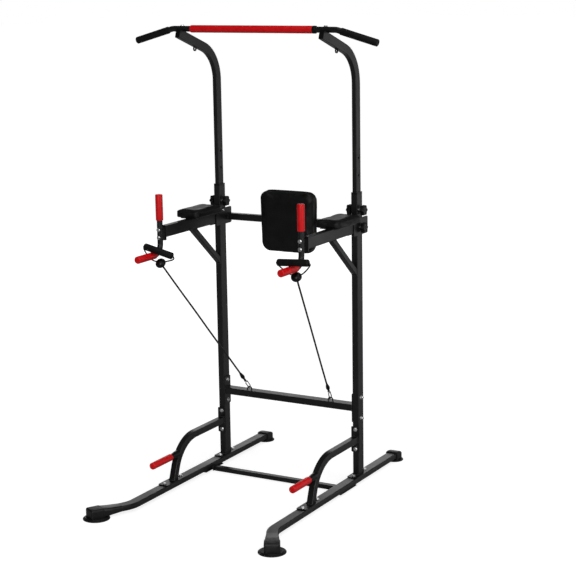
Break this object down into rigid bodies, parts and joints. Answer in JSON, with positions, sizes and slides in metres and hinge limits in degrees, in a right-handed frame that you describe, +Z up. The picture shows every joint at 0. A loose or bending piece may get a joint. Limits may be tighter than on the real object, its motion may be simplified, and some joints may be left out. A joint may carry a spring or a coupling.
{
  "type": "power tower",
  "caption": "Free-standing power tower with a height-adjustable pull-up bar, padded dip arms and back pad, push-up pegs and elastic cord trainers with foam pull handles.",
  "frame": {"origin": "on the floor, below the middle of the footprint box", "axes": "+Z up, +X to the machine's right seen from the user's side, the user stands on the -Y side and faces +Y"},
  "size_m": [1.1842, 1.396, 2.0455],
  "materials": {
    "frame_steel": "satin powder coat",
    "zinc_steel": "bright zinc",
    "red_foam": "closed-cell foam, fine skin",
    "black_foam": "closed-cell foam, fine skin",
    "foot_rubber": "moulded rubber",
    "pad_vinyl": "stitched vinyl",
    "board_wood": "raw plywood",
    "black_plastic": "moulded",
    "cord_sleeve": "braided sleeve"
  },
  "bodies": {
    "frame": {"base_rail_left": "frame_steel", "base_rail_right": "frame_steel", "foot_front_left": "foot_rubber", "foot_front_right": "foot_rubber", "foot_rear_left": "foot_rubber", "foot_rear_right": "foot_rubber", "base_crossbar": "frame_steel", "upright_left": "frame_steel", "upright_right": "frame_steel", "brace_left": "frame_steel", "brace_right": "frame_steel", "pushup_grips": "red_foam", "mid_beam": "frame_steel", "cord_eyes": "frame_steel", "guide_sleeves": "black_plastic", "dip_arm_left": "frame_steel", "dip_arm_right": "frame_steel", "arm_bracket_left": "frame_steel", "arm_bracket_right": "frame_steel", "arm_stay_left": "frame_steel", "arm_stay_right": "frame_steel", "arm_pad_plates": "frame_steel", "arm_pad_left": "pad_vinyl", "arm_pad_right": "pad_vinyl", "dip_handle_left": "frame_steel", "dip_handle_right": "frame_steel", "dip_grips": "red_foam", "low_grips": "red_foam", "back_beam": "frame_steel", "back_board": "board_wood", "back_pad": "pad_vinyl", "knob_nuts": "zinc_steel", "cord_left": "cord_sleeve", "cord_right": "cord_sleeve", "cord_clips": "black_plastic", "snap_hooks": "zinc_steel", "stopper_balls": "black_plastic", "handle_loops": "cord_sleeve", "frame_bolts": "zinc_steel", "frame_nuts": "zinc_steel"},
    "upper_frame": {"upper_tube_left": "frame_steel", "upper_tube_right": "frame_steel", "tube_end_caps": "black_plastic", "pull_up_bar": "frame_steel", "center_grip": "red_foam", "end_grips": "black_foam", "hanging_eyes": "frame_steel", "upper_bolts": "zinc_steel"},
    "height_pin_left": {"height_pin_left": "black_plastic"},
    "height_pin_right": {"height_pin_right": "black_plastic"},
    "clamp_knob_left": {"clamp_knob_left": "black_plastic"},
    "clamp_knob_right": {"clamp_knob_right": "black_plastic"},
    "arm_knob_left": {"arm_knob_left": "black_plastic"},
    "arm_knob_right": {"arm_knob_right": "black_plastic"},
    "snap_gate_left": {"snap_gate_left": "zinc_steel"},
    "snap_gate_right": {"snap_gate_right": "zinc_steel"},
    "pull_handle_left": {"pull_handle_left": "black_foam"},
    "pull_handle_right": {"pull_handle_right": "black_foam"}
  },
  "joints": [
    {"name": "height_slide", "type": "slide", "parent": "frame", "child": "upper_frame", "axis": [0, 0, 1], "range_m": [-0.228, 0.152]},
    {"name": "height_pin_left_slide", "type": "slide", "parent": "frame", "child": "height_pin_left", "axis": [1, 0, 0], "range_m": [0, 0.006]},
    {"name": "height_pin_right_slide", "type": "slide", "parent": "frame", "child": "height_pin_right", "axis": [-1, 0, 0], "range_m": [0, 0.006]},
    {"name": "clamp_knob_left_turn", "type": "hinge", "parent": "frame", "child": "clamp_knob_left", "pos_m": [-0.318, 0.282, 1.243], "axis": [-1, 0, 0], "continuous": true},
    {"name": "clamp_knob_right_turn", "type": "hinge", "parent": "frame", "child": "clamp_knob_right", "pos_m": [0.318, 0.282, 1.243], "axis": [1, 0, 0], "continuous": true},
    {"name": "arm_knob_left_turn", "type": "hinge", "parent": "frame", "child": "arm_knob_left", "pos_m": [-0.385, 0.282, 1.167], "axis": [-1, 0, 0], "continuous": true},
    {"name": "arm_knob_right_turn", "type": "hinge", "parent": "frame", "child": "arm_knob_right", "pos_m": [0.385, 0.282, 1.167], "axis": [1, 0, 0], "continuous": true},
    {"name": "snap_gate_left_swing", "type": "hinge", "parent": "frame", "child": "snap_gate_left", "pos_m": [-0.21328, 0.28508, 0.38977], "axis": [0.9894, 0, 0.1449], "range_deg": [0, 20], "stiffness_Nm_per_rad": 0.02},
    {"name": "snap_gate_right_swing", "type": "hinge", "parent": "frame", "child": "snap_gate_right", "pos_m": [0.21368, 0.28524, 0.38964], "axis": [0.9817, 0, -0.1907], "range_deg": [0, 20], "stiffness_Nm_per_rad": 0.02},
    {"name": "pull_handle_left_spin", "type": "hinge", "parent": "frame", "child": "pull_handle_left", "pos_m": [-0.31, -0.286, 1.104], "axis": [0.9749, 0, -0.2228], "continuous": true},
    {"name": "pull_handle_right_spin", "type": "hinge", "parent": "frame", "child": "pull_handle_right", "pos_m": [0.364, -0.317, 1.113], "axis": [0.9984, 0, 0.057], "continuous": true}
  ]
}
